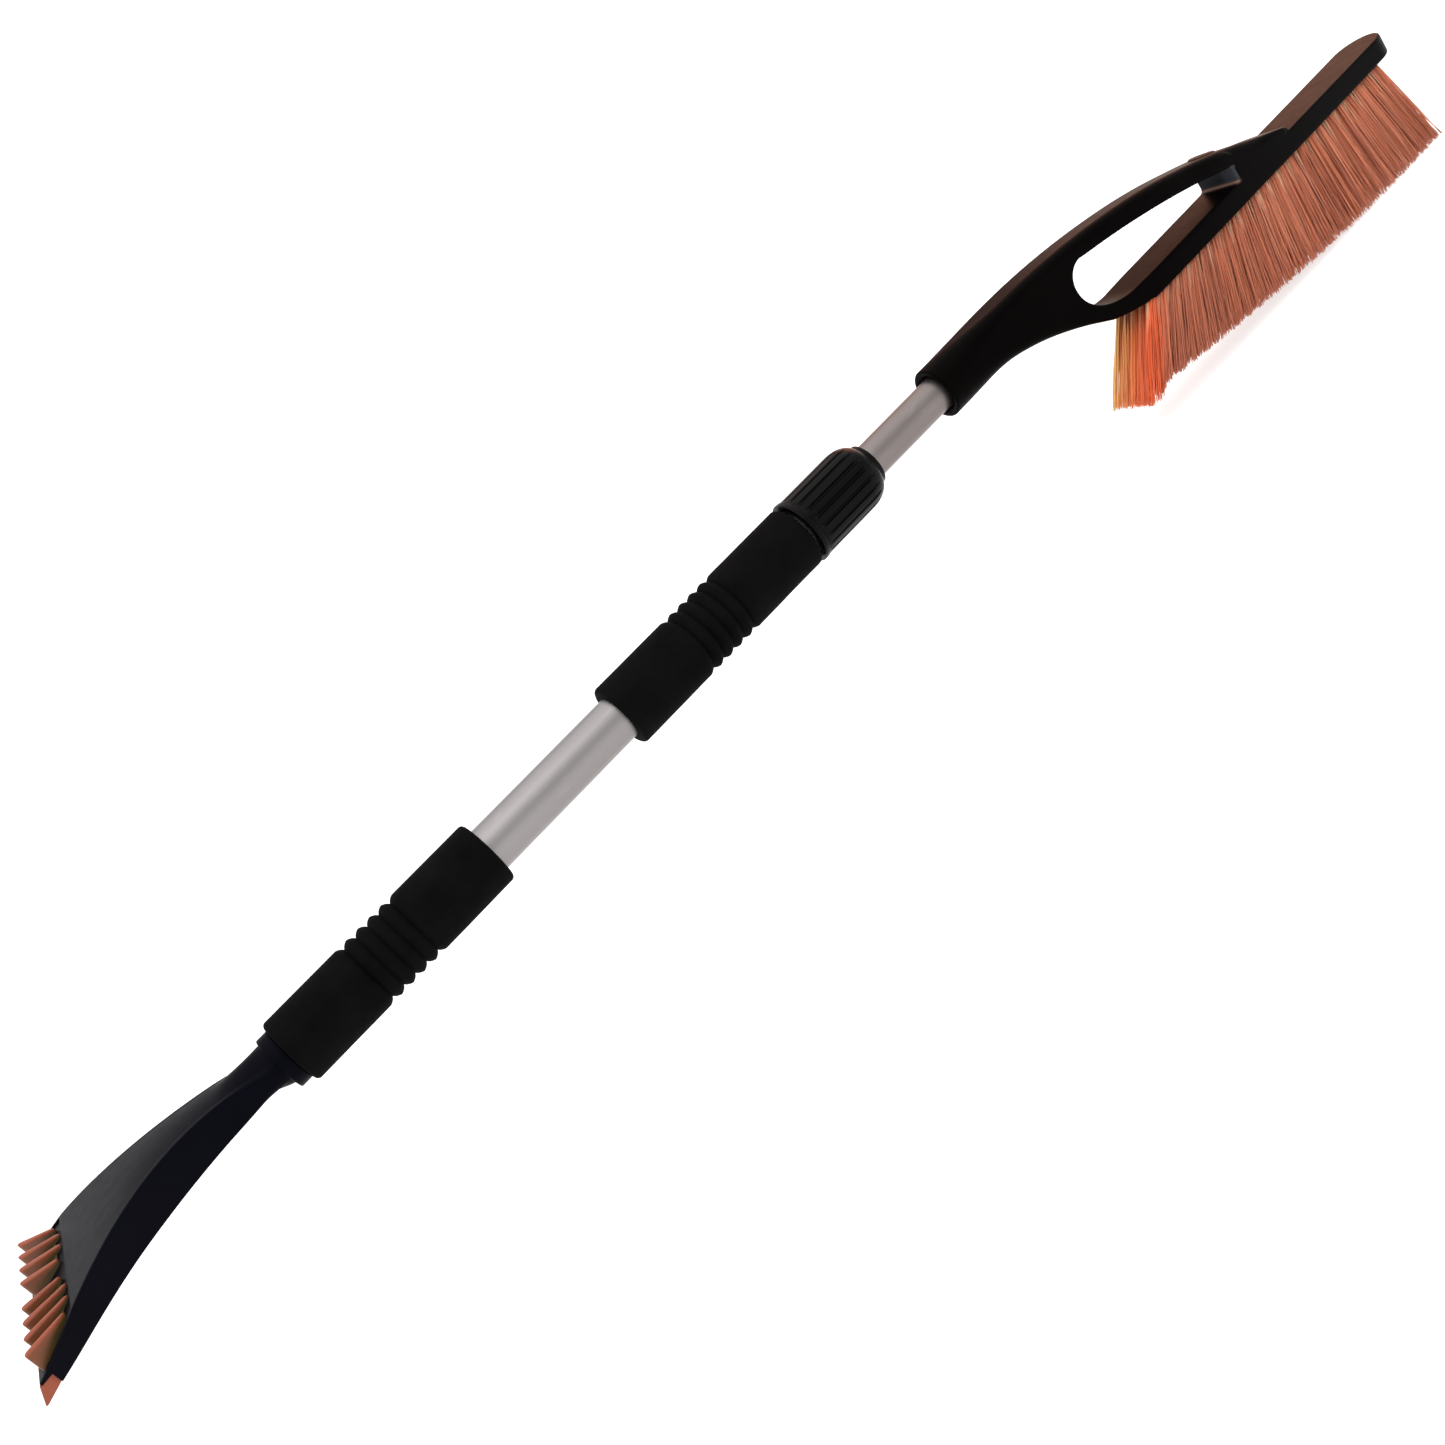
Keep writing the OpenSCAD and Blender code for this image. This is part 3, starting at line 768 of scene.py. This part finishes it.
def build_comb(name, side, node):
    """Four fins that fan out toward their tips, on a thin bed."""
    shades = []
    fins = [build_fin(k / (COMB_FINS - 1), side, shades) for k in range(COMB_FINS)]
    rings = []
    for t in np.linspace(0.03, 0.93, 8):
        x = mix(COMB_ROOT_X - 2.4, COMB_TIP_X + 1, t)
        inner, outer = (side * mix(root, tip, t) for root, tip in zip(COMB_ROOT_Y, COMB_TIP_Y))
        low, high = bed_z(x) - 0.05, bed_z(x) + 0.5
        rings.append([(x, inner, low), (x, outer, low), (x, outer, high), (x, inner, high)])
    points, faces = join(*fins, loft(rings))
    obj = make_piece(name, points, faces, COMB_ORANGE_PAINTED_SHADE, "outer_pole",
                     [node], crease=50)
    # the bed between the fins gets full painted shade
    shades += [1.0] * (len(points) - len(shades))
    set_shares(obj, "shade", shades)
    return obj


# ---------- foam grips ----------
GRIP_END_R = 2.2
VALLEYS = 5
VALLEY_PITCH = 7.4
VALLEY_DEPTH = 2.9


def grip_radius(s, length):
    """Radius at a distance s from the grip's end: rounded ends, and beads with narrow valleys between."""
    into_end = max(0.0, GRIP_END_R - min(s, length - s))
    radius = GRIP_R - GRIP_END_R + math.sqrt(max(0.0, GRIP_END_R ** 2 - into_end ** 2))
    offset = (s - length / 2) / VALLEY_PITCH
    nearest = min(max(round(offset), -(VALLEYS - 1) // 2), (VALLEYS - 1) // 2)
    beside = abs(offset - nearest) * 2
    if beside < 1 and abs(offset) <= VALLEYS / 2:
        radius -= VALLEY_DEPTH * (1 - beside ** 0.62) ** 1.25
    return radius


def build_grip(name, node):
    """Foam sleeve with four beads in its middle, a little uneven as foam is."""
    low, high = span(node)
    length = high[0] - low[0]
    bead_reach = 22
    beads = np.linspace(length / 2 - bead_reach, length / 2 + bead_reach, 150)
    plain = np.linspace(3, length / 2 - bead_reach - 1, 14)
    ends = GRIP_END_R * (1 - np.cos(np.linspace(0, math.pi / 2, 6)))
    stations = sorted([*ends, *plain, *beads, *(length - plain), *(length - ends)])
    turns = 144
    waves = rng.normal(size=(5, 3))
    bore = TUBE_R + 0.06
    rings = []
    for a in even_angles(turns):
        ring = []
        for s in stations:
            radius = grip_radius(s, length)
            uneven = sum(size * math.sin(phase * 0.9 + (i + 1) * a + twist * s / 13)
                         for i, (size, phase, twist) in enumerate(waves))
            radius = min(radius + 0.05 * uneven, GRIP_R)
            ring.append((low[0] + s, radius * math.cos(a), radius * math.sin(a)))
        for s in (length, length * 0.66, length * 0.33, 0):
            ring.append((low[0] + s, bore * math.cos(a), bore * math.sin(a)))
        rings.append(ring)
    points, faces = loft(rings, closed=True)
    obj = make_piece(name, points, faces, FOAM, "outer_pole",
                     [node])
    return obj


# ---------- lock collar ----------
FLANGE_R = COLLAR_HIGH[2]
BODY_R = FLANGE_R - 0.5
MOUTH_R = INNER_R + 2.6
WIPER_SEAT_R = INNER_R + 1.8
SLIDE_R = INNER_R + 0.4
CLAMP_R = 15.2
THREAD_R = 15.45
DOME_LENGTH = 11.5
DOME_SHORTER = 2.6
DOME_POWER = 1.85
FLUTES = 20
FLUTE_DEPTH = 1.25
FLUTE_HALF = math.radians(3.3)
FLUTE_OFFSETS = (-1, -0.86, -0.62, -0.3, 0, 0.3, 0.62, 0.86, 1, 1.5, 2.1, 2.727, 3.35, 3.95)


def collar_profile(x0, x1):
    """The collar's section as (x, radius): flange, body, dome and the stepped bore."""
    dome_x = x1 - DOME_LENGTH - DOME_SHORTER
    profile = arc(x0 + 0.7, FLANGE_R - 0.7, 0.7, 180, 90, 5)
    profile += arc(x0 + 2.7, FLANGE_R - 0.5, 0.5, 90, 10, 4)
    profile += [(x0 + 3.5, BODY_R - 0.35), (x0 + 4.1, BODY_R - 0.1)]
    profile += [(x, BODY_R) for x in np.linspace(x0 + 4.8, dome_x - 1.5, 16)]
    for a in np.radians(np.linspace(0, 90, 20)):
        sideways, up = math.sin(a) ** (2 / DOME_POWER), math.cos(a) ** (2 / DOME_POWER)
        profile.append((dome_x - 1 + (DOME_LENGTH + 0.6) * sideways,
                        MOUTH_R + 0.4 + (BODY_R - MOUTH_R - 0.4) * up))
    mouth = [(x1 - 0.1, MOUTH_R - 0.1), (x1, MOUTH_R - 0.5), (x1 - 0.3, WIPER_SEAT_R)]
    seat = [(x1 - 3.2, WIPER_SEAT_R), (x1 - 3.2, SLIDE_R), (x1 - 12, SLIDE_R)]
    bore = [(x1 - 18, CLAMP_R), (x0 + 24.5, CLAMP_R), (x0 + 24.5, THREAD_R), (x0 + 0.5, THREAD_R),
            (x0, THREAD_R + 0.45)]
    return profile + mouth + seat + bore


def build_collar():
    """Fluted twist collar: flange, wide lands with narrow flutes, domed end with the wiper's seat."""
    x0, x1 = COLLAR_LOW[0], COLLAR_HIGH[0]
    profile = collar_profile(x0, x1)
    pitch = 2 * math.pi / FLUTES
    rings = []
    for k, offset in itertools.product(range(FLUTES), FLUTE_OFFSETS):
        angle = k * pitch + offset * FLUTE_HALF
        depth = FLUTE_DEPTH * (1 - offset ** 2) ** 0.6 if abs(offset) < 1 else 0.0
        ring = []
        for x, r in profile:
            if r > THREAD_R + 0.5 and x > x0 + 4.2:
                r = min(r, BODY_R - depth * ease((x - (x0 + 5)) / 1.6))
            ring.append((x, r * math.cos(angle), r * math.sin(angle)))
        rings.append(ring)
    points, faces = loft(rings, closed=True)
    return make_piece("lock_collar_shell", points, faces, GLOSS, "collar",
                      ["lock_collar"], crease=34)


# ---------- brush head (its curves are fitted to the photo's outlines) ----------
def past_neck(x):
    """Runs from 0 at the socket to 1 where the arm has its own section."""
    return ease((x - SOCKET_X - NECK_START) / NECK_LENGTH)


def arm_top(x):
    """Height of the arm's back, from the socket to the lip on the bar."""
    curve = ARM_HALF - 0.00008 * np.maximum(x - ARM_BEND_X, 0) ** 2.45
    straight = -25.1 - 0.37 * (x - ARM_STRAIGHT_X)
    hollow = ARM_HOLLOW * between(x, 185, 280) * (1 - between(x, 325, 380))
    back = np.where(x < ARM_STRAIGHT_X, curve, straight)
    return back + (SOCKET_R - ARM_HALF) * (1 - past_neck(x)) - hollow


def neck_low(x):
    """Height of the underside, from the socket to the bar."""
    swept = -12 - 28.5 * (np.maximum(x - NECK_SWEEP_X, 0) / (BAR_START_X - NECK_SWEEP_X)) ** 1.75
    before_landing = np.clip(BAR_START_X + BAR_LANDING - x, 0, BAR_LANDING)
    landing = BAR_BOTTOM + 7.4 * (before_landing / BAR_LANDING) ** 2
    low = np.where(x < BAR_START_X, swept, landing)
    return mix(-SOCKET_R, low, past_neck(x))


def window_top(x):
    return 0.3 - 0.13 * (x - WINDOW_TOP_X) - 0.00075 * (x - WINDOW_TOP_X) ** 2


def arm_outline():
    """Side outline of the socket, neck and arm down to the bar's underside."""
    start, end = SOCKET_X - 14, ARM_END_X + 12
    back = [(x, float(arm_top(x))) for x in np.linspace(start, end, 220)]
    under = [(x, float(neck_low(x))) for x in np.linspace(end, start, 220)]
    return back + under


def window_outline():
    """The loop: a tight curve under the arm, a long one above the bar, a blunt far end."""
    x0, x1 = WINDOW_X
    long_z = -13.5
    tight = ellipse(x0 + 12.5, -12.3, 12.5, 12.6, 90, 180, 16)
    long = ellipse(x0 + 34, long_z, 34, long_z - BAR_TOP, 180, 270, 24)
    corner = arc(x1 - WINDOW_CORNER, BAR_TOP + WINDOW_CORNER, WINDOW_CORNER, -90, 0, 6)
    top = [(x, window_top(x)) for x in np.linspace(x1 - 1.2, x0 + 17, 60)]
    return tight + long + corner + [(x1, window_top(x1) - 1.0)] + top


def half_thickness(x, z):
    """Half of the head's width: the arm is slimmer than the bar until it nears its root."""
    bar = mix(ARM_HALF, BAR_HALF, between(x, 236, 276))
    arm = mix(ARM_HALF, BAR_HALF, between(x, 322, 350))
    width = mix(arm, bar, between(z, -26, -35))
    return mix(SOCKET_R, width, past_neck(x))


def edge_radius(x, z):
    """Radius of the edges: a full round at the socket, broad on the arm's back, crisp on the bar."""
    back = mix(ARM_EDGE_R, 1.5, between(x, 372, 398))
    under = mix(mix(6.0, 4.2, between(x, 190, 225)), BAR_EDGE_R, between(x, 236, 266))
    split = mix(mix(0, -18, between(x, 150, 220)), -41, between(x, 352, 368))
    return mix(mix(under, back, ease((z - split + 3) / 6)), SOCKET_R, 1 - past_neck(x))


arm_distance = distance_map(arm_outline(), MAP_LOW, MAP_HIGH)
window_distance = distance_map(window_outline(), MAP_LOW, MAP_HIGH)


def brush_head_field(x, y, z):
    """The whole head: arm and bar, less the loop and the socket's bore, and a rimmed hang hole."""
    across = np.abs(y)
    side = across - half_thickness(x, z)
    end = rounded_and(x - ARM_END_X, across - BAR_HALF, ARM_END_CORNER)
    arm_plan = np.where(x > ARM_END_X - ARM_END_CORNER, end, side)
    arm = rounded_and(arm_distance(x, z), arm_plan, edge_radius(x, z))
    bar_centre = BAR_END_X - BAR_HALF - BAR_TRIM
    bar_plan = np.where(x > bar_centre, np.hypot(x - bar_centre, y) - BAR_HALF, side)
    bar_side = np.maximum(np.maximum(z - BAR_TOP, BAR_BOTTOM - z), WINDOW_X[0] + 39.5 - x)
    bar = rounded_and(bar_side, bar_plan, BAR_EDGE_R)
    beyond = x > ARM_END_X + 6
    solid = np.where(beyond, bar, np.minimum(arm, bar))
    window = rounded_and(-window_distance(x, z), side, WINDOW_EDGE_R)
    solid = np.where(beyond, solid, np.maximum(solid, window))
    from_axis = np.hypot(y, z)
    solid = rounded_and(solid, SOCKET_X - x, 0.9)
    bore = np.maximum(from_axis - INNER_R - SOCKET_GAP, x - SOCKET_X - SOCKET_DEPTH)
    mouth = (from_axis - INNER_R - SOCKET_CHAMFER + (x - SOCKET_X)) * math.sqrt(0.5)
    solid = np.maximum(solid, -np.minimum(bore, mouth))
    from_hole = np.hypot(x - HANG_X, y)
    rim = np.hypot(from_hole - HANG_R - RIM_R, z - arm_top(x)) - RIM_R
    solid = -soft_max(-solid, -rim, 0.6)
    hang = np.maximum(from_hole - HANG_R, HANG_FLOOR - z)
    return soft_max(solid, -hang, 1.2)


def build_brush_head():
    """The head's surface, with the attributes for painted highlights on its edges and for painted light on
    the loop's far end wall.
    """
    margin = 3.0
    points, quads = surface_of(brush_head_field, HEAD_LOW - margin, HEAD_HIGH + margin, HEAD_STEP)
    obj = make_piece("brush_head_body", points, quads, HEAD_BLACK_PAINTED_LIGHT, "inner_pole",
                     ["brush_head"], crease=180)
    slope = slope_of(brush_head_field, points)
    normals = slope / np.linalg.norm(slope, axis=1)[:, None]
    obj.data.normals_split_custom_set_from_vertices(normals.tolist())
    x, y, z = points.T
    from_back = z - arm_top(x)
    on_back = (np.abs(from_back) < 2.6) * (z > BAR_TOP + 0.3)
    # painted highlight along the arm's end lip where it meets the bar
    lip = np.exp(-((x - ARM_END_X + 0.8) / 1.7) ** 2) * on_back
    # painted highlight around the hang hole's rim
    from_rim = np.hypot(x - HANG_X, y) - HANG_R - RIM_R
    hole_rim = np.exp(-(from_rim / 1.1) ** 2) * (from_back > -0.6)
    # painted highlight where the bar's top turns up at the loop's far end
    window_end_highlight = np.exp(-((x - WINDOW_X[1] + 1.0) / 1.3) ** 2 - ((z - BAR_TOP - 0.6) / 0.8) ** 2)
    set_shares(obj, "painted_highlight", 0.75 * lip + 0.6 * hole_rim + 0.9 * window_end_highlight)
    # painted light: the loop's far end wall lies in shade and is painted lighter, most toward the near side
    far_end = (np.abs(x - WINDOW_X[1]) < 1.2) & (z > BAR_TOP + 1.5) & (z < window_top(x) + 0.5)
    set_shares(obj, "painted_wall_light", far_end * mix(0.45, 1.0, ease((-y - 2) / 6)))
    return obj


# ---------- bristles ----------
def tip_height(x):
    """Height of the tips: level at the far end, rising toward the pole. The first tufts are longer."""
    rise = TIP_RISE * (np.maximum(0, LEVEL_TIPS_X - x) / 263) ** 1.7
    return -AXIS_HEIGHT + rise - FIRST_TUFTS_LONGER * ease((FIRST_TUFTS_X - x) / 12)


def row_paths(row_y, lean, offset_x, offset_y, share):
    """Points along every filament of a row, as arrays of filament by level. Offsets are within a tuft."""
    count = len(share)
    root_x = mix(*ROOT_X, share) + TUFT_HALF[0] * offset_x
    flare = (TIP_X[1] - TIP_X[0]) / (TUFTS - 1) * TIP_FLARE
    tip_x = mix(*TIP_X, share) + flare * offset_x + rng.normal(size=count) * TIP_SCATTER[0]
    tip_x = np.clip(tip_x, TIP_X[0] - 5, TIP_X[1] + 5)
    tip_y = TIP_HALF_Y * offset_y + rng.normal(size=count) * TIP_SCATTER[1]
    tip_z = tip_height(tip_x) + np.abs(rng.normal(size=count)) * TIP_SCATTER[2]
    root_y = TUFT_HALF[1] * offset_y
    root_z = BAR_BOTTOM + ROOT_DEPTH
    bend_x = rng.normal(size=(count, 1)) * BEND[0]
    bend_y = rng.normal(size=(count, 1)) * BEND[1]
    bulge = np.sin(FILAMENT_LEVELS * math.pi)
    x = mix(root_x[:, None], tip_x[:, None], FILAMENT_LEVELS) + bend_x * bulge
    y = mix(root_y[:, None], tip_y[:, None], FILAMENT_LEVELS ** 1.1) + bend_y * bulge
    z = mix(root_z, tip_z[:, None], FILAMENT_LEVELS)
    return root_x, x, row_y + y + np.tan(lean) * (root_z - z), z


def filament_faces(count, levels):
    """Faces of three-sided rods, with a triangle at each end."""
    base = np.arange(count)[:, None] * levels * 3
    corners = []
    for r in range(levels - 1):
        for side in range(3):
            a, b = r * 3 + side, r * 3 + (side + 1) % 3
            corners.append([b, a, a + 3, b + 3])
    faces = np.concatenate([base + np.array(c)[None, :] for c in corners]).tolist()
    last = (levels - 1) * 3
    for cap in ([0, 1, 2], [last + 2, last + 1, last]):
        faces += (base + np.array(cap)[None, :]).tolist()
    return faces


def build_bristle_row(index):
    """One row of tufts, every filament a tapered three-sided rod that bends a little."""
    from_middle = index - (ROWS - 1) / 2
    count = TUFTS * FILAMENTS
    share = np.repeat(np.arange(TUFTS), FILAMENTS) / (TUFTS - 1)
    turn = rng.random(count) * 2 * math.pi
    reach = np.sqrt(rng.random(count))
    offset_x, offset_y = reach * np.cos(turn), reach * np.sin(turn)
    root_x, x, y, z = row_paths(from_middle * ROW_PITCH, from_middle * ROW_LEAN, offset_x, offset_y, share)
    thickness = mix(*FILAMENT_R, FILAMENT_LEVELS ** 1.5)[..., None]
    corners = rng.random((count, 1, 1)) * 2 * math.pi + THIRDS
    points = np.stack([x[..., None] + thickness * np.cos(corners),
                       y[..., None] + thickness * np.sin(corners),
                       np.broadcast_to(z[..., None], (*z.shape, 3))], -1)
    number = index + 1
    faces = filament_faces(count, z.shape[1])
    obj = make_piece(f"bristles_row_{number}", points.reshape(-1, 3), faces, FIBRE_PAINTED_LIGHT, "inner_pole",
                     [f"bristle_row_{number}"], crease=180)
    depth = (BAR_BOTTOM - z)[..., None]
    from_end = (root_x - ROOT_X[0] + TUFT_HALF[0])[:, None, None]
    rim = np.clip((np.abs(offset_x) - 0.66) / 0.2, 0, 1)[:, None, None]
    shares = {
        "tone": rng.normal(0.5, 0.11, count)[:, None, None],
        "warmth": 0.95 * np.exp(-(from_end / 11) ** 2),
        # painted light on the tufts' rim filaments near the roots, where light shows between the tufts
        "pale": rim * (0.85 * np.exp(-(depth / 3.5) ** 2) + 0.22 * np.exp(-(depth / 8) ** 2)),
        "fringe": 0.95 * (index / (ROWS - 1)) ** 2 * np.exp(-(from_end / 3.2) ** 2),
    }
    for name, value in shares.items():
        set_shares(obj, name, np.broadcast_to(value, points.shape[:-1]).ravel())
    return obj


build_scraper_head()
build_blade()
build_comb("ice_comb_left_fins", 1, "ice_comb_left")
build_comb("ice_comb_right_fins", -1, "ice_comb_right")
build_grip("foam_grip_lower_sleeve", "foam_grip_lower")
build_grip("foam_grip_upper_sleeve", "foam_grip_upper")
build_collar()
build_brush_head()
for row in range(ROWS):
    build_bristle_row(row)


# ---------- studio ----------
FLOOR_REACH = 30.0
FLOOR_GLOW = 0.7
SKY_STRENGTH = 2.8
SKY = ((0.0, 0.42), (0.24, 0.42), (0.34, 0.30), (0.6, 0.42), (0.85, 0.64))
WARM_DIRECTION = (0.69, 0.70, 0.20)
WARM_TINT = (0.98, 0.27, 0.13)
WARM_NEAR = (0.90, 0.98)
WARM_ABOVE = (0.10, 0.18)
LENS_MM = 38.87
SENSOR_MM = 36.0
CAMERA_AZIMUTH = math.radians(-15.59)
CAMERA_ELEVATION = math.radians(21.26)
CAMERA_ROLL = math.radians(-40.5)
CAMERA_DISTANCE = 0.8012
CAMERA_AIM = Vector((-0.0875, 0.0, 0.0666))


def build_floor():
    """A wide, pale floor at the bristles' tips, which glows so that the object's shadow stays faint."""
    look = Look("pale_floor", 0.9, specular=0.1)
    dark, light = (0.50, 0.50, 0.50), (0.52, 0.52, 0.52)
    look.drive("Base Color", look.ramp(look.noise(2, 2), ((0.3, dark), (0.7, light))))
    look.drive("Emission Color", (1.0, 1.0, 1.0))
    look.drive("Emission Strength", FLOOR_GLOW)
    mesh = bpy.data.meshes.new("floor")
    corners = [(FLOOR_REACH * i, FLOOR_REACH * j, 0) for i, j in ((-1, -1), (1, -1), (1, 1), (-1, 1))]
    mesh.from_pydata(corners, [], [(0, 1, 2, 3)])
    mesh.materials.append(look.material)
    add_to_scene("floor", mesh)


def build_world():
    """Even light at the horizon, dimmer above it, a bright ceiling, and a warm glow behind the brush."""
    world = bpy.data.worlds.new("studio")
    tree = NodeTree()
    tree.adopt(world)
    direction = tree.put("ShaderNodeTexCoord").outputs["Generated"]
    height = tree.put("ShaderNodeSeparateXYZ", {0: direction}).outputs["Z"]
    sky = tree.ramp(height, [(position, (level, level, level)) for position, level in SKY])
    toward = tree.put("ShaderNodeVectorMath", {0: direction, 1: WARM_DIRECTION}, operation="DOT_PRODUCT")
    near = tree.level(toward.outputs["Value"], 0, 1, *WARM_NEAR)
    above = tree.level(height, 0, 1, *WARM_ABOVE)
    share = tree.put("ShaderNodeMath", {0: near, 1: above}, operation="MULTIPLY").outputs["Value"]
    background = tree.nodes["Background"]
    tree.fill(background.inputs["Color"], tree.blended(share, sky, WARM_TINT, "MULTIPLY"))
    tree.fill(background.inputs["Strength"], SKY_STRENGTH)
    bpy.context.scene.world = world


def soft_light(name, place, aim, size, power, colour=(1.0, 1.0, 1.0)):
    """A square area light that the camera doesn't see."""
    data = bpy.data.lights.new(name, "AREA")
    data.size = size
    data.energy = power
    data.color = colour
    lamp = add_to_scene(name, data)
    lamp.location = place
    lamp.rotation_euler = (Vector(aim) - Vector(place)).to_track_quat("-Z", "Y").to_euler()
    lamp.visible_camera = False


def build_camera():
    """The camera looks down at the pole from the side, rolled so that the pole runs corner to corner."""
    level = math.cos(CAMERA_ELEVATION)
    back = Vector((math.sin(CAMERA_AZIMUTH) * level, -math.cos(CAMERA_AZIMUTH) * level,
                   math.sin(CAMERA_ELEVATION)))
    data = bpy.data.cameras.new("camera")
    data.lens = LENS_MM
    data.sensor_width = SENSOR_MM
    data.clip_start = 0.01
    camera = add_to_scene("camera", data)
    camera.location = CAMERA_AIM + back * CAMERA_DISTANCE
    camera.rotation_mode = "QUATERNION"
    camera.rotation_quaternion = (-back).to_track_quat("-Z", "Y") @ Quaternion((0, 0, 1), CAMERA_ROLL)
    bpy.context.scene.camera = camera


build_floor()
build_world()
soft_light("key", place=(-0.6, -0.5, 1.9), aim=(0, 0, 0.1), size=1.8, power=6)
soft_light("warm_side", place=(1.9, 1.3, 0.8), aim=(0.3, 0, 0.1), size=1.2, power=8,
           colour=(1.0, 0.46, 0.28))
build_camera()
bpy.context.scene.view_settings.view_transform = "Standard"
bpy.context.scene.view_settings.look = "None"
